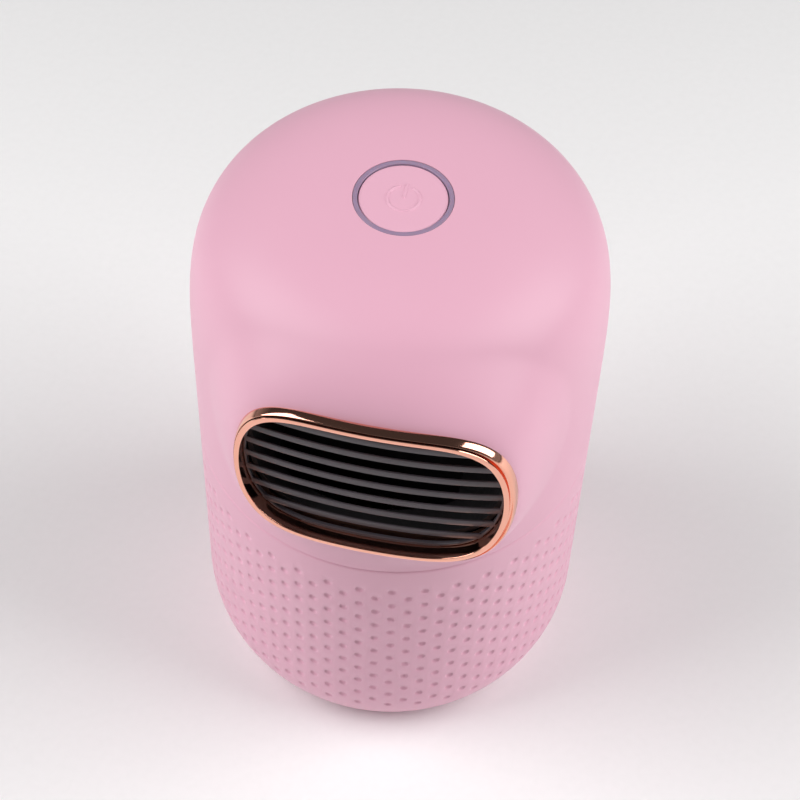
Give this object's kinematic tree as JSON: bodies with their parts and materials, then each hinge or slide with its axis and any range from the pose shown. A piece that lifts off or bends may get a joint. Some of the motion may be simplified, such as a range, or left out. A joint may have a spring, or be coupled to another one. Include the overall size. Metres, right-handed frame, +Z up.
{
  "type": "nail dust collector",
  "caption": "Desktop dust collector: round lift-off head with a slatted front mouth and top power button, over a dust cup in a round lower casing.",
  "frame": {"origin": "centre of the base on the table", "axes": "+Z up along the casing's axis, the mouth faces -Y, +X to the right seen from the front"},
  "size_m": [0.1, 0.1034, 0.1632],
  "materials": {
    "soft_touch_pink": "satin soft-touch moulded ABS",
    "button_pink": "satin moulded ABS",
    "rose_gold_plating": "electroplated rose gold on ABS",
    "black_gloss_abs": "moulded gloss ABS",
    "black_matte_abs": "moulded matte ABS",
    "smoke_polycarbonate": "translucent smoke polycarbonate",
    "lilac_light_guide": "milky moulded polycarbonate",
    "black_silicone": "matte silicone",
    "filter_paper": "pleated filter paper",
    "zinc_steel": "zinc plated",
    "nickel_strip": "nickel plated",
    "cell_sleeve": "shrink sleeve",
    "circuit_board": "solder mask",
    "wire_sheath": "PVC sheath"
  },
  "bodies": {
    "lower_casing": {"lower_casing": "soft_touch_pink", "base_plate": "black_matte_abs", "base_pad": "black_silicone", "base_screws": "zinc_steel"},
    "dust_cup": {"dust_cup": "smoke_polycarbonate", "cup_seal": "black_silicone"},
    "filter_cartridge": {"filter_frame": "black_matte_abs", "filter_core": "black_matte_abs", "filter_media": "filter_paper", "filter_end_cap": "black_matte_abs", "filter_seal": "black_silicone"},
    "head": {"upper_shell": "soft_touch_pink", "bulkhead": "black_matte_abs", "bulkhead_screws": "zinc_steel", "mouth_trim": "rose_gold_plating", "grille": "black_gloss_abs", "intake_duct": "black_matte_abs", "fan_gasket": "black_silicone", "fan_cover": "black_matte_abs", "fan_housing": "black_matte_abs", "fan_screws": "zinc_steel", "motor": "zinc_steel", "motor_isolator": "black_silicone", "motor_screws": "zinc_steel", "motor_leads": "wire_sheath", "cell_left": "cell_sleeve", "cell_right": "cell_sleeve", "cell_cradle_left": "black_matte_abs", "cell_cradle_right": "black_matte_abs", "cell_tabs": "nickel_strip", "cell_leads": "wire_sheath", "main_board": "circuit_board", "board_screws": "zinc_steel", "charge_board": "circuit_board", "charging_socket": "nickel_strip", "charge_leads": "wire_sheath", "button_board": "circuit_board", "button_board_screws": "zinc_steel", "board_link": "wire_sheath", "tact_switch": "black_matte_abs", "leds": "lilac_light_guide", "light_ring": "lilac_light_guide"},
    "rotor": {"impeller": "black_matte_abs", "motor_shaft": "zinc_steel"},
    "power_button": {"power_button": "button_pink"}
  },
  "joints": [
    {"name": "cup_lift", "type": "slide", "parent": "lower_casing", "child": "dust_cup", "axis": [0, 0, 1], "range_m": [0, 0.08]},
    {"name": "cartridge_lift", "type": "slide", "parent": "dust_cup", "child": "filter_cartridge", "axis": [0, 0, 1], "range_m": [0, 0.05]},
    {"name": "head_lift", "type": "slide", "parent": "filter_cartridge", "child": "head", "axis": [0, 0, 1], "range_m": [0, 0.025]},
    {"name": "fan_spin", "type": "hinge", "parent": "head", "child": "rotor", "pos_m": [0, 0, 0.1], "axis": [0, 0, 1], "continuous": true},
    {"name": "button_press", "type": "slide", "parent": "head", "child": "power_button", "axis": [0, 0, -1], "range_m": [0, 0.0006], "stiffness_N_per_m": 1500}
  ]
}
